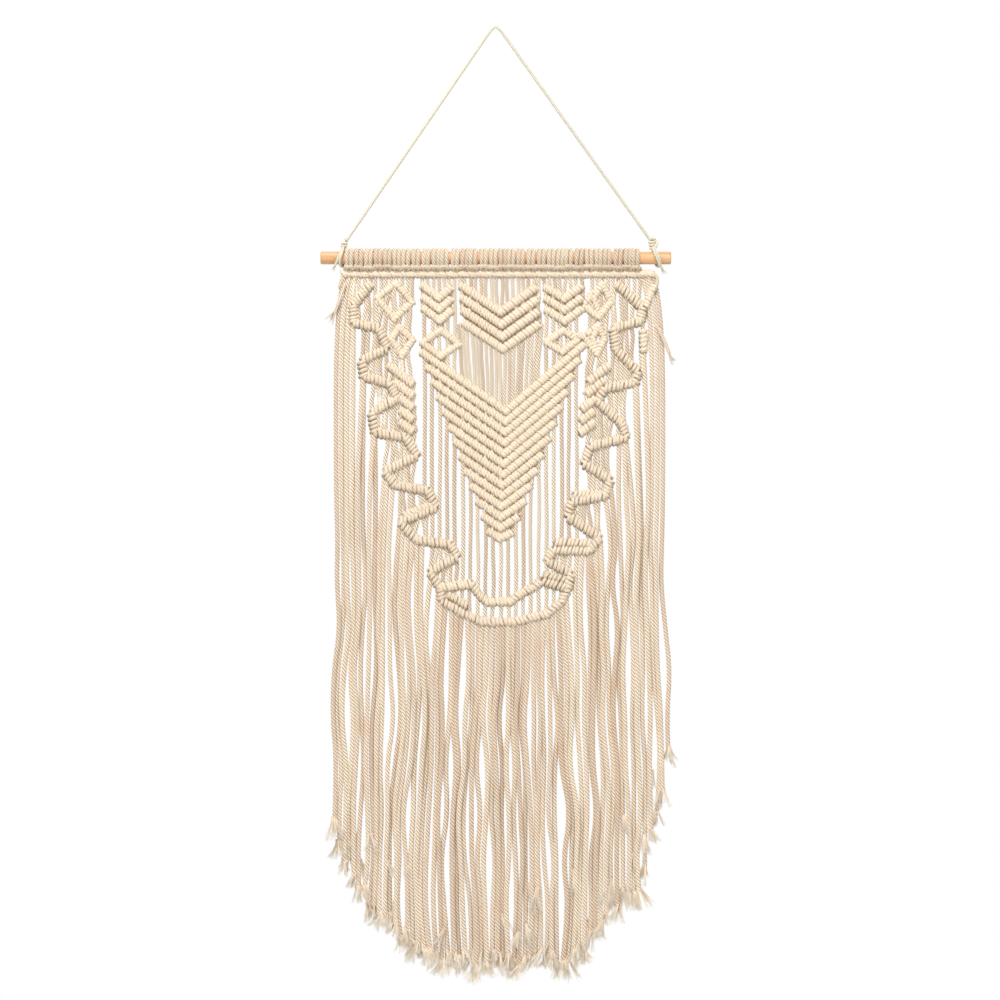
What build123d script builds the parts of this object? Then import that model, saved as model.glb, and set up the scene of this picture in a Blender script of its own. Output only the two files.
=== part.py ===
from build123d import *
import math
import os

# Macrame wall hanging: a wooden dowel on a hanger cord, a knotted cotton panel and a long cord fringe.
# Millimetres. The origin is the top of the hanger cord, where it rests on its hook.
# +X is the viewer's right, +Y runs into the wall, +Z is up. The panel lies in the plane Y = 0.

# Driving dimensions
DOWEL_LENGTH = 350.0
DOWEL_RADIUS = 6.35
DOWEL_X = 0.3
DOWEL_Z = -231.0
DOWEL_CHAMFER = 0.8
CORD_RADIUS = 2.25
GAP = 0.3
HANGER_RADIUS = 1.5
HANGER_LOOP_X = (-154.0, 158.0)
HANGER_KNOTS = ((-151.0, -216.6, 3.3), (157.5, -217.0, 4.2))
HOOK_HALF = 2.6

# Lark's head knots, each a rounded ring round the dowel
LARK_COUNT = 31
LARK_START = -150.8
LARK_PITCH = 9.56
LARK_THICKNESS = 4.4
LARK_ROUNDING = 1.6

# Cords: one column for each, across the whole width
CORD_COUNT = 62
FIRST_COLUMN = -159.5
COLUMN_PITCH = 5.36
EDGE_CORDS = 3
LEAST_TOP = 3.0

# Header: one row of double half hitches over a holding cord
HEADER_Z = -247.0
HEADER_ENDS = (-152.5, 159.5)
HEADER_RADIUS = 4.0
HOLDING_RADIUS = 2.1

# Radii of the hitched rows
CHEVRON_RADIUS = 4.4
SMALL_CHEVRON_RADIUS = 4.0
ARROW_RADIUS = 3.75
DIAMOND_RADIUS = 2.6
LEAF_RADIUS = 3.8
BAND_RADIUS = 3.6
COLUMN_RADIUS = 4.5

# Hitched rows as (x, z) lines. A repeated row is its first row and the step to the next.
CHEVRON = [(-35.0, -258.5), (5.0, -285.5), (42.0, -259.5)]
CHEVRON_STEP = (0.8, -12.3)
CHEVRON_COUNT = 4
SMALL_CHEVRON_LEFT = [(-73.5, -258.5), (-56.5, -271.5), (-43.5, -260.0)]
SMALL_CHEVRON_RIGHT = [(49.0, -260.0), (68.5, -272.0), (87.5, -258.5)]
SMALL_CHEVRON_STEP = (0.3, -11.2)
SMALL_CHEVRON_COUNT = 3
ARROW_COUNT = 13
ARROW_LEFT = (-74.5, -325.0)
ARROW_LEFT_STEP = (5.58, -14.9)
ARROW_POINT = (10.5, -384.5)
ARROW_POINT_STEP = (-0.5, -10.6)
ARROW_RIGHT = (90.5, -316.0)
ARROW_RIGHT_STEP = (-6.04, -15.75)
DIAMONDS = {
    "inner_diamond_left": [[(-55.0, -303.5), (-73.0, -316.0), (-55.0, -329.5), (-36.5, -317.0)]],
    "inner_diamond_right": [[(68.0, -303.5), (50.5, -315.5), (67.0, -325.0), (81.5, -313.5)]],
    "outer_diamonds_left": [
        [(-99.5, -256.5), (-118.5, -271.0), (-101.0, -292.0), (-83.5, -275.0)],
        [(-96.5, -300.5), (-104.0, -313.0), (-93.5, -329.0), (-83.0, -313.0)],
    ],
    "outer_diamonds_right": [
        [(106.5, -257.0), (98.5, -271.5), (104.0, -289.5), (115.5, -275.0)],
        [(103.0, -298.0), (97.0, -311.5), (101.5, -327.0), (109.0, -312.5)],
    ],
}
LEAVES = {
    "leaf_left": [
        [(-102.0, -342.0), (-82.0, -358.0)],
        [(-96.0, -358.6), (-82.0, -369.8)],
        [(-90.0, -375.2), (-82.0, -381.6)],
        [(-90.0, -387.0), (-82.0, -393.4)],
        [(-90.0, -399.0), (-82.0, -405.4)],
    ],
    "leaf_right": [
        [(108.0, -343.0), (92.0, -356.0)],
        [(103.0, -357.5), (90.0, -368.5)],
        [(94.0, -376.0), (86.0, -383.0)],
        [(93.0, -388.0), (84.5, -395.0)],
        [(93.0, -399.5), (83.0, -407.5)],
    ],
}
SIDE_COLUMN = [(148.0, -303.5), (148.0, -326.0)]

# The curved band is one hitched line that zigzags down each side. A node is one turn of it.
BAND_LEFT = [
    (-124.5, -257.0), (-142.3, -279.0), (-142.3, -296.0), (-116.5, -302.0),
    (-108.5, -322.0), (-133.5, -334.0), (-131.5, -350.0), (-105.5, -357.0),
    (-98.5, -372.0), (-123.5, -386.0), (-120.5, -406.0), (-89.5, -411.0),
    (-78.5, -429.0), (-110.5, -445.0), (-100.5, -458.5), (-67.5, -464.0),
    (-59.5, -481.0), (-95.5, -495.0), (-79.5, -513.0), (-44.5, -518.0),
    (-38.5, -530.0), (-65.5, -545.0), (-55.5, -561.0), (-23.5, -557.0),
]
BAND_RIGHT = [
    (121.5, -257.5), (147.0, -281.0), (145.5, -294.0), (117.5, -302.0),
    (120.5, -323.0), (142.5, -345.0), (139.5, -356.0), (108.5, -362.0),
    (102.5, -375.0), (126.5, -397.0), (130.5, -411.0), (94.5, -420.0),
    (88.5, -437.0), (114.5, -453.0), (109.5, -469.0), (75.5, -475.0),
    (72.5, -490.0), (104.5, -511.0), (93.5, -524.0), (57.5, -523.0),
    (51.5, -534.0), (75.5, -547.0), (72.5, -561.0), (46.5, -554.0),
]
BAND_TURN = 4
BAND_BOTTOM = [
    [(-17.0, -567.0), (-8.0, -575.0), (14.5, -575.0), (26.5, -566.0), (38.0, -560.5)],
    [(-54.0, -574.0), (-31.5, -587.0), (-13.5, -595.0), (19.5, -595.0), (51.5, -587.0), (66.0, -575.0)],
]

# Cords between the hitched rows, as flat panels one cord thick that leave the rows clear, and in the
# band's cells the fringe cords at their open sides too
PANEL_INSET = 0.5
CELL_INSET = 4.2
CORDS_CENTRE = [
    [(-29.0, -252.0), (36.0, -252.0), (5.0, -276.0)],
    [(-68.0, -252.0), (-47.0, -252.0), (-57.0, -263.0)],
    [(54.0, -252.0), (83.0, -252.0), (68.5, -264.0)],
    [(-32.0, -305.0), (7.0, -330.5), (46.0, -305.0), (46.0, -347.5), (10.5, -378.0), (-32.0, -348.0)],
]
CORDS_UNDER_ARROW = [
    (-77.5, -348.0), (-71.5, -348.0), (-14.0, -505.0), (4.5, -521.0), (24.0, -506.0), (83.5, -350.0),
    (87.0, -350.0), (85.0, -366.0), (81.0, -379.0), (78.0, -405.0), (80.0, -437.0), (70.5, -470.0),
    (67.5, -490.0), (52.5, -518.0), (46.5, -534.0), (41.0, -548.0), (25.0, -561.0), (14.0, -570.5),
    (-7.5, -570.5), (-14.5, -562.0), (-19.0, -552.0), (-30.0, -546.0), (-34.0, -530.0), (-40.0, -516.0),
    (-55.0, -481.0), (-63.0, -464.0), (-74.0, -430.0), (-77.5, -415.0),
]

# Fringe: how far each cord sways at each height, at six columns across the width. Those between are blended.
SWAY_HEIGHTS = (-465.0, -512.0, -556.0, -600.0, -645.0, -692.0, -738.0, -786.0, -833.0, -881.0, -935.0)
SWAY_COLUMNS = (0, 12, 24, 37, 49, 61)
SWAY = (
    (0.0, 0.4, 0.3, -0.5, -1.9, -2.2, -0.4, 1.8, 2.1, 0.6, -0.9),
    (0.0, -0.3, -0.5, 0.2, 1.9, 2.6, 1.3, -0.9, -2.5, -2.6, -1.0),
    (0.0, 0.3, 0.5, 0.4, 1.6, 1.9, 0.2, -2.0, -2.3, -0.3, 2.1),
    (0.0, -0.4, -0.2, 0.4, -1.2, -2.5, -1.6, 0.9, 2.7, 2.2, -0.2),
    (0.0, 0.3, -0.2, -0.5, -1.9, -1.4, 0.8, 2.6, 1.8, -0.7, -2.4),
    (0.0, -0.4, -0.5, 0.4, 1.7, 3.0, 3.1, 1.2, -0.9, -1.9, -0.6),
)
FAN_START = -600.0
FAN_END = -935.0
FAN_SPREAD = 0.035
# Lower edge of the fringe as (x, z), and the step by which neighbouring cords differ in length
HEM = [
    (-165.0, -768.0), (-150.0, -835.0), (-125.0, -868.0), (-95.0, -903.0), (-65.0, -930.0), (5.0, -935.0),
    (70.0, -932.0), (100.0, -903.0), (115.0, -876.0), (144.0, -858.0), (152.0, -800.0), (170.0, -722.0),
]
HEM_STEP = 4.0
LEAST_RUN = 24.0

# Fringe sections: first and last cord, and the height at which the section swings
SECTIONS = {
    "outer_left": (0, 9, -465.0),
    "inner_left": (10, 20, -590.0),
    "centre": (21, 41, -608.0),
    "inner_right": (42, 51, -590.0),
    "outer_right": (52, 61, -465.0),
}
SWING_GAP = 2.0
# The outermost cords of each side start under the header and lean out to their columns
EDGE_START = -254.0
EDGE_SHOULDER = -275.0
EDGE_LEAN = (9.0, -10.5)
# Share of the shorter run beside a corner that its arc takes
RUN_SHARE = 0.45

os.makedirs("parts", exist_ok=True)


def stepped(line, step, index):
    """A line of (x, z) points moved by a number of steps."""
    return [(x + step[0] * index, z + step[1] * index) for x, z in line]


def blend_along(value, places, results):
    """Straight interpolation in a list of places that rises or falls."""
    for i in range(len(places) - 1):
        low, high = places[i], places[i + 1]
        if min(low, high) <= value <= max(low, high):
            share = (value - low) / (high - low)
            return results[i] + share * (results[i + 1] - results[i])
    nearest = 0 if abs(value - places[0]) < abs(value - places[-1]) else -1
    return results[nearest]


def column_x(cord):
    """Where a cord hangs."""
    return FIRST_COLUMN + COLUMN_PITCH * cord


def shortened(line, radius, closed=False):
    """The straight runs of a line, each drawn back from its corners so that round bars on them don't meet."""
    points = line + line[:1] if closed else line
    runs = list(zip(points, points[1:]))
    headings = [math.atan2(b[1] - a[1], b[0] - a[0]) for a, b in runs]
    result = []
    for i, (a, b) in enumerate(runs):
        length = math.dist(a, b)
        back = []
        for j in (i - 1, i + 1):
            inside = closed or 0 <= j < len(runs)
            turn = abs(math.remainder(headings[i] - headings[j % len(runs)], math.tau)) if inside else 0.0
            back.append(radius * math.tan(turn / 2) + GAP / 2 if inside else 0.0)
        ux, uz = (b[0] - a[0]) / length, (b[1] - a[1]) / length
        start = (a[0] + ux * back[0], a[1] + uz * back[0])
        stop = (b[0] - ux * back[1], b[1] - uz * back[1])
        result.append((start, stop))
    return result


def round_bar(start, stop, radius):
    """A round bar in the panel's plane, added to the part being built."""
    along = Vector(stop[0] - start[0], 0, stop[1] - start[1])
    with BuildSketch(Plane(origin=(start[0], 0, start[1]), z_dir=along)) as section:
        Circle(radius)
    extrude(section.sketch, amount=along.length)


def cord_panel(corners, inset=0.0):
    """A flat closed solid one cord thick, added to the part being built, for the cords side by side in it."""
    with BuildSketch(Plane.XZ.offset(-CORD_RADIUS)) as section:
        Polygon(*corners, align=None)
        if inset:
            offset(amount=-inset, kind=Kind.INTERSECTION)
    extrude(section.sketch, amount=2 * CORD_RADIUS)


def finish(part, name):
    """Label a sub-part and write its STEP file."""
    part.label = name
    export_step(part, f"parts/{name}.step")


def hitched_rows(name, lines, radius, closed=False):
    """Rows of double half hitches, each run a round bar, and their lines for the cords to stop at."""
    with BuildPart() as rows:
        for line in lines:
            for start, stop in shortened(line, radius, closed):
                round_bar(start, stop, radius)
    finish(rows.part, name)
    for line in lines:
        points = line + line[:1] if closed else line
        hitched.extend((a, b, radius) for a, b in zip(points, points[1:]))


def foot(x, start, stop, clear):
    """The height below which a cord at x is at least clear away from the run from start to stop, or None."""
    feet = [pz - math.sqrt(clear**2 - (x - px) ** 2) for px, pz in (start, stop) if abs(x - px) < clear]
    length = math.dist(start, stop)
    ux, uz = (stop[0] - start[0]) / length, (stop[1] - start[1]) / length
    if abs(ux) > 1e-6:
        beside = start[1] + (x - start[0]) * uz / ux - clear / abs(ux)
        along = (x - start[0]) * ux + (beside - start[1]) * uz
        if 0 <= along <= length:
            feet.append(beside)
    return min(feet, default=None)


def lowest_row(x):
    """The height from which a column is clear of every hitched row below the header."""
    header_foot = HEADER_Z - HEADER_RADIUS - GAP
    feet = (foot(x, a, b, radius + CORD_RADIUS + GAP) for a, b, radius in hitched)
    return min([header_foot, *(z for z in feet if z is not None)])


def route_x(cord, z):
    """Sideways place of a fringe cord at a height."""
    sways = [blend_along(z, SWAY_HEIGHTS, row) for row in SWAY]
    fan = min(max((FAN_START - z) / (FAN_START - FAN_END), 0.0), 1.0)
    return column_x(cord) * (1 + FAN_SPREAD * fan) + blend_along(cord, SWAY_COLUMNS, sways)


def fringe_end(cord):
    """Height of a fringe cord's cut end."""
    hem = blend_along(column_x(cord), [p[0] for p in HEM], [p[1] for p in HEM])
    return hem + HEM_STEP * math.sin(2.4 * cord)


def fringe_route(cord, top, bottom):
    """Points of a cord from top to bottom: its ends, and the heights between where it changes direction."""
    heights = [z for z in SWAY_HEIGHTS if bottom + LEAST_RUN < z < top - LEAST_RUN]
    return [(route_x(cord, z), z) for z in [top, *heights, bottom]]


def bend_radii(points):
    """One radius for each corner, as large as its two runs allow."""
    radii = []
    for a, b, c in zip(points, points[1:], points[2:]):
        turn = math.radians(Vector(b[0] - a[0], b[1] - a[1]).get_angle(Vector(c[0] - b[0], c[1] - b[1])))
        radii.append(RUN_SHARE * min(math.dist(a, b), math.dist(b, c)) / math.tan(turn / 2))
    return radii


def cord_tube(points, radius):
    """A round cord along straight runs joined by arcs. Returns its length and smallest bend radius."""
    radii = bend_radii(points)
    corners = [(x, 0, z) for x, z in points]
    with BuildLine() as path:
        if radii:
            FilletPolyline(*corners, radius=radii)
        else:
            Line(*corners)
    wire = path.wires()[0]
    with BuildSketch(Plane(origin=wire @ 0, z_dir=wire % 0)) as section:
        Circle(radius)
    sweep(section.sketch, path=path.line)
    return wire.length, min(radii, default=math.inf)


# Dowel
with BuildPart() as dowel:
    with BuildSketch(Plane.YZ.offset(DOWEL_X - DOWEL_LENGTH / 2)):
        with Locations((0, DOWEL_Z)):
            Circle(DOWEL_RADIUS)
    extrude(amount=DOWEL_LENGTH)
    chamfer(dowel.edges().filter_by(GeomType.CIRCLE), length=DOWEL_CHAMFER)
finish(dowel.part, "dowel")

# Hanger cord, over its hook and down to a knot at each end of the dowel
hook = [(-HOOK_HALF, 0.0), (HOOK_HALF, 0.0)]
hanger_ends = []
for (knot_x, knot_z, knot_radius), hook_point in zip(HANGER_KNOTS, hook):
    pull = Vector(hook_point[0] - knot_x, hook_point[1] - knot_z).normalized() * (knot_radius + GAP / 3)
    hanger_ends.append((knot_x + pull.X, knot_z + pull.Y))
hanger_route = [hanger_ends[0], *hook, hanger_ends[1]]
with BuildPart() as hanger_cord:
    hanger_length, hanger_bend = cord_tube(hanger_route, HANGER_RADIUS)
finish(hanger_cord.part, "hanger_cord")
print(f"hanger_cord: length {hanger_length:.1f}, radii {[round(r, 1) for r in bend_radii(hanger_route)]}")
print(f"  volume {hanger_cord.part.volume:.0f}, section x length {math.pi * HANGER_RADIUS**2 * hanger_length:.0f}")

# Hanger knots, each with the loop that the dowel rests in and the neck between them
for side, loop_x, (knot_x, knot_z, knot_radius) in zip(("left", "right"), HANGER_LOOP_X, HANGER_KNOTS):
    loop_ring = DOWEL_RADIUS + GAP + HANGER_RADIUS
    loop_top = Vector(loop_x, DOWEL_Z + loop_ring)
    reach = loop_top - Vector(knot_x, knot_z)
    neck = reach.length - knot_radius - HANGER_RADIUS - 2 * GAP / 3
    with BuildPart() as knot:
        with Locations((knot_x, 0, knot_z)):
            Sphere(knot_radius)
        with Locations((loop_x, 0, DOWEL_Z)):
            Torus(loop_ring, HANGER_RADIUS, rotation=(0, 90, 0))
        if neck > GAP:
            way = reach.normalized()
            start = Vector(knot_x, knot_z) + way * (knot_radius + GAP / 3)
            stop = start + way * neck
            round_bar((start.X, start.Y), (stop.X, stop.Y), HANGER_RADIUS)
    finish(knot.part, f"hanger_knot_{side}")

# Lark's head knots
with BuildPart() as larks_heads:
    ring_width = LARK_PITCH - GAP
    ring_middle = DOWEL_RADIUS + GAP / 6 + LARK_THICKNESS / 2
    places = [(LARK_START + LARK_PITCH * (i + 0.5), DOWEL_Z + ring_middle) for i in range(LARK_COUNT)]
    with BuildSketch(Plane.XZ):
        with Locations(*places):
            RectangleRounded(ring_width, LARK_THICKNESS, LARK_ROUNDING)
    revolve(axis=Axis((0, 0, DOWEL_Z), (1, 0, 0)))
finish(larks_heads.part, "larks_heads")

# Header: the sleeve of hitches and the holding cord inside it
hitched = []
with BuildPart() as header:
    with BuildSketch(Plane.YZ.offset(HEADER_ENDS[0])):
        with Locations((0, HEADER_Z)):
            Circle(HEADER_RADIUS)
            Circle(HOLDING_RADIUS + GAP / 6, mode=Mode.SUBTRACT)
    extrude(amount=HEADER_ENDS[1] - HEADER_ENDS[0])
finish(header.part, "header_hitches")
with BuildPart() as holding_cord:
    round_bar((HEADER_ENDS[0] - 1, HEADER_Z), (HEADER_ENDS[1] + 1, HEADER_Z), HOLDING_RADIUS)
finish(holding_cord.part, "header_holding_cord")

# Hitched rows of the panel
for i in range(CHEVRON_COUNT):
    hitched_rows(f"centre_chevron_{i + 1}", [stepped(CHEVRON, CHEVRON_STEP, i)], CHEVRON_RADIUS)
for side, first in (("left", SMALL_CHEVRON_LEFT), ("right", SMALL_CHEVRON_RIGHT)):
    rows = [stepped(first, SMALL_CHEVRON_STEP, i) for i in range(SMALL_CHEVRON_COUNT)]
    hitched_rows(f"small_chevrons_{side}", rows, SMALL_CHEVRON_RADIUS)
for name, diamonds in DIAMONDS.items():
    hitched_rows(name, diamonds, DIAMOND_RADIUS, closed=True)
for name, rows in LEAVES.items():
    hitched_rows(name, rows, LEAF_RADIUS)
hitched_rows("side_column", [SIDE_COLUMN], COLUMN_RADIUS)
for i in range(ARROW_COUNT):
    left = stepped([ARROW_LEFT], ARROW_LEFT_STEP, i)
    point = stepped([ARROW_POINT], ARROW_POINT_STEP, i)
    right = stepped([ARROW_RIGHT], ARROW_RIGHT_STEP, i)
    hitched_rows(f"arrow_row_{i + 1:02d}", [left + point + right], ARROW_RADIUS)

# Curved band, one node for each turn of its zigzag, and its two bottom rows
for side, line in (("left", BAND_LEFT), ("right", BAND_RIGHT)):
    runs = shortened(line, BAND_RADIUS)
    for turn in range(math.ceil(len(runs) / BAND_TURN)):
        with BuildPart() as band:
            for start, stop in runs[turn * BAND_TURN : (turn + 1) * BAND_TURN]:
                round_bar(start, stop, BAND_RADIUS)
        finish(band.part, f"band_{side}_{turn + 1}")
    hitched.extend((a, b, BAND_RADIUS) for a, b in zip(line, line[1:]))
hitched_rows("band_bottom", BAND_BOTTOM, BAND_RADIUS)

# Cords between the hitched rows: above and below the chevrons, under the arrow, and in each side's openings
with BuildPart() as cords_centre:
    for corners in CORDS_CENTRE:
        cord_panel(corners)
finish(cords_centre.part, "cords_centre")
with BuildPart() as cords_under_arrow:
    cord_panel(CORDS_UNDER_ARROW)
finish(cords_under_arrow.part, "cords_under_arrow")
for side, line in (("left", BAND_LEFT), ("right", BAND_RIGHT)):
    with BuildPart() as cords:
        for diamond in [*DIAMONDS[f"inner_diamond_{side}"], *DIAMONDS[f"outer_diamonds_{side}"]]:
            cord_panel(diamond, DIAMOND_RADIUS + PANEL_INSET)
        for i in range(0, len(line) - 3, 2):
            cord_panel(line[i : i + 4], BAND_RADIUS + CELL_INSET)
    finish(cords.part, f"cords_{side}")

# Fringe: the still top of each cord, and below it the section that swings
for name, (first, last, swing_z) in SECTIONS.items():
    with BuildPart() as tops:
        for cord in range(first, last + 1):
            stop_z = swing_z + SWING_GAP
            start_z = lowest_row(column_x(cord))
            route = fringe_route(cord, start_z, stop_z)
            if cord < EDGE_CORDS or cord >= CORD_COUNT - EDGE_CORDS:
                lean = EDGE_LEAN[0] if cord < EDGE_CORDS else EDGE_LEAN[1]
                start_z = EDGE_START
                route = [(column_x(cord) + lean, EDGE_START), (column_x(cord), EDGE_SHOULDER), route[-1]]
            if start_z - stop_z > LEAST_TOP:
                cord_tube(route, CORD_RADIUS)
    finish(tops.part, f"fringe_top_{name}")
    total_length, total_volume, tightest = 0.0, 0.0, math.inf
    with BuildPart() as section:
        for cord in range(first, last + 1):
            route = fringe_route(cord, swing_z - SWING_GAP, fringe_end(cord))
            length, bend = cord_tube(route, CORD_RADIUS)
            total_length += length
            tightest = min(tightest, bend)
    finish(section.part, f"fringe_{name}")
    section_volume = math.pi * CORD_RADIUS**2 * total_length
    print(f"fringe_{name}: total length {total_length:.0f}, smallest bend radius {tightest:.0f}")
    print(f"  volume {section.part.volume:.0f}, section x length {section_volume:.0f}")
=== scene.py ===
"""Macrame wall hanging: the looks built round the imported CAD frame.

Lines and sizes are in millimetres from the hook, with X to the right, Y away from the viewer and Z up.
MM turns them into metres where a mesh or a cord is handed over.
"""

import math

import bpy
import numpy as np
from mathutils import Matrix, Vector


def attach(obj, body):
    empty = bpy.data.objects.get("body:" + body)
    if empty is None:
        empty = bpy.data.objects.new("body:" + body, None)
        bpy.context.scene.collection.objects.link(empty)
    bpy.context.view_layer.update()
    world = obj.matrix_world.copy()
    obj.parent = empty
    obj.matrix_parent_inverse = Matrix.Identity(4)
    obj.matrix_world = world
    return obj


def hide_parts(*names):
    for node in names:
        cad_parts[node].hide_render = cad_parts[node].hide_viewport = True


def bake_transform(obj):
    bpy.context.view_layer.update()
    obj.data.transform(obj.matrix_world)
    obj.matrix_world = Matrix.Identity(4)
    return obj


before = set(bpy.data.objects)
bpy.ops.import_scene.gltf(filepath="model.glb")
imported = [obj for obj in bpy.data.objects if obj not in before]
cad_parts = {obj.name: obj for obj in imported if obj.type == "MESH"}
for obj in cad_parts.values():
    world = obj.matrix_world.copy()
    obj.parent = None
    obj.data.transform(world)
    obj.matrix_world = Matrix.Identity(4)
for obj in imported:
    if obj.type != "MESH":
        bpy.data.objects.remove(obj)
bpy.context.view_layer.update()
rng = np.random.default_rng(11)
MM = 0.001
FRONT = np.array([0.0, -1.0, 0.0])
SIDE = np.array([1.0, 0.0, 0.0])
UP = np.array([0.0, 0.0, 1.0])

# ---- camera, light, floor
scene = bpy.context.scene
scene.view_settings.view_transform = "Standard"
cam_data = bpy.data.cameras.new("camera")
cam_data.lens = 85
cam_data.sensor_width = 36
cam_data.clip_end = 50
camera = bpy.data.objects.new("camera", cam_data)
camera.location = (0.0045, -2.361, -0.473)
camera.rotation_euler = (math.radians(90), 0, 0)
scene.collection.objects.link(camera)
scene.camera = camera


AIM = Vector((0, 0, -0.45))


def area_light(name, location, size, power):
    data = bpy.data.lights.new(name, "AREA")
    data.shape = "SQUARE"
    data.size = size
    data.energy = power
    light = bpy.data.objects.new(name, data)
    light.location = location
    light.rotation_euler = (AIM - Vector(location)).to_track_quat("-Z", "Y").to_euler()
    scene.collection.objects.link(light)


area_light("key", (-0.5, -1.6, 1.45), 0.7, 58)
area_light("fill", (1.2, -2.4, -0.1), 1.6, 17)
area_light("back", (0.6, 2.4, 0.8), 1.6, 34)


def studio_world():
    """A world that the camera sees as plain white, and that lights the object with a weaker warm white."""
    world = bpy.data.worlds.new("studio")
    world.use_nodes = True
    nodes, links = world.node_tree.nodes, world.node_tree.links
    nodes.clear()
    output = nodes.new("ShaderNodeOutputWorld")
    choice = nodes.new("ShaderNodeMixShader")
    ray = nodes.new("ShaderNodeLightPath")
    seen = nodes.new("ShaderNodeBackground")
    light = nodes.new("ShaderNodeBackground")
    seen.inputs["Color"].default_value = (1, 1, 1, 1)
    light.inputs["Color"].default_value = (1, 0.985, 0.965, 1)
    light.inputs["Strength"].default_value = 0.41
    links.new(ray.outputs["Is Camera Ray"], choice.inputs["Fac"])
    links.new(light.outputs[0], choice.inputs[1])
    links.new(seen.outputs[0], choice.inputs[2])
    links.new(choice.outputs[0], output.inputs["Surface"])
    return world


scene.world = studio_world()


# ---- materials
WHITE, BLACK = (1.0, 1.0, 1.0), (0.0, 0.0, 0.0)


def new_material(name):
    mat = bpy.data.materials.new(name)
    mat.use_nodes = True
    nodes, links = mat.node_tree.nodes, mat.node_tree.links
    return mat, nodes, links, nodes["Principled BSDF"]


def ramp(nodes, stops):
    """A colour ramp through (place, colour) stops."""
    node = nodes.new("ShaderNodeValToRGB")
    for i, (place, colour) in enumerate(stops):
        element = node.color_ramp.elements[i] if i < 2 else node.color_ramp.elements.new(place)
        element.position = place
        element.color = (*colour, 1)
    return node


def mixed(nodes, links, mode, factor, a, b):
    """The colour that a and b blend to. Each is a colour or a node's output."""
    node = nodes.new("ShaderNodeMix")
    node.data_type = "RGBA"
    node.blend_type = mode
    if isinstance(factor, float):
        node.inputs["Factor"].default_value = factor
    else:
        links.new(factor, node.inputs["Factor"])
    for socket, value in ((node.inputs[6], a), (node.inputs[7], b)):
        if isinstance(value, tuple):
            socket.default_value = (*value, 1)
        else:
            links.new(value, socket)
    return node.outputs[2]


def attribute(nodes, name):
    node = nodes.new("ShaderNodeAttribute")
    node.attribute_name = name
    return node


def noise(nodes, links, place, scale, detail):
    """Noise over the places that come from another node's output."""
    node = nodes.new("ShaderNodeTexNoise")
    node.inputs["Scale"].default_value = scale
    node.inputs["Detail"].default_value = detail
    links.new(place, node.inputs["Vector"])
    return node


def stretched(nodes, links, place, scale):
    node = nodes.new("ShaderNodeMapping")
    node.inputs["Scale"].default_value = scale
    links.new(place, node.inputs["Vector"])
    return node


def toned(nodes, links, factor, stops):
    """The colour that a factor picks from a ramp."""
    node = ramp(nodes, stops)
    links.new(factor, node.inputs["Fac"])
    return node.outputs["Color"]


def set_roughness(nodes, links, bsdf, factor, low, high):
    rough = nodes.new("ShaderNodeMapRange")
    rough.inputs["To Min"].default_value = low
    rough.inputs["To Max"].default_value = high
    links.new(factor, rough.inputs["Value"])
    links.new(rough.outputs["Result"], bsdf.inputs["Roughness"])


def set_bump(nodes, links, bsdf, height, strength, distance):
    bump = nodes.new("ShaderNodeBump")
    bump.inputs["Strength"].default_value = strength
    bump.inputs["Distance"].default_value = distance
    links.new(height, bump.inputs["Height"])
    links.new(bump.outputs["Normal"], bsdf.inputs["Normal"])


def cotton(name, deep, mid, crest, stain):
    """Twisted cotton: painted shade between the plies, streaked along them, with slow changes of tone."""
    mat, nodes, links, bsdf = new_material(name)
    # The colour runs from a painted shade in the plies' grooves to the lighter crests.
    painted_shade_stops = [(0.05, deep), (0.55, mid), (1.0, crest)]
    colour = toned(nodes, links, attribute(nodes, "groove").outputs["Fac"], painted_shade_stops)
    fibre = stretched(nodes, links, attribute(nodes, "fibre").outputs["Vector"], (3.2, 3.2, 0.22))
    streak = noise(nodes, links, fibre.outputs["Vector"], 3.0, 4.0).outputs["Fac"]
    streak_tone = toned(nodes, links, streak, [(0.30, (0.80, 0.76, 0.70)), (0.62, WHITE)])
    colour = mixed(nodes, links, "MULTIPLY", 0.75, colour, streak_tone)
    strand_stops = [(0.0, (0.87, 0.80, 0.735)), (0.5, (1.0, 0.985, 0.965)), (1.0, (1.04, 1.045, 1.01))]
    strand_tone = toned(nodes, links, attribute(nodes, "tone").outputs["Fac"], strand_stops)
    colour = mixed(nodes, links, "MULTIPLY", 1.0, colour, strand_tone)
    place = nodes.new("ShaderNodeTexCoord")
    slow = noise(nodes, links, place.outputs["Object"], 38.0, 3.0)
    patch = toned(nodes, links, slow.outputs["Fac"], [(0.50, BLACK), (0.74, WHITE)])
    patch_share = nodes.new("ShaderNodeMath")
    patch_share.operation = "MULTIPLY"
    patch_share.inputs[1].default_value = 0.45
    links.new(patch, patch_share.inputs[0])
    colour = mixed(nodes, links, "MULTIPLY", patch_share.outputs[0], colour, stain)
    links.new(colour, bsdf.inputs["Base Color"])
    set_roughness(nodes, links, bsdf, streak, 0.80, 0.98)
    set_bump(nodes, links, bsdf, streak, 0.45, 0.0005)
    bsdf.inputs["Sheen Weight"].default_value = 0.25
    bsdf.inputs["Sheen Roughness"].default_value = 0.5
    bsdf.inputs["Specular IOR Level"].default_value = 0.15
    return mat


# Each cotton's first colour is the painted shade in its grooves, the next two its colour towards the crests,
# and the last a stain colour.
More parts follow.
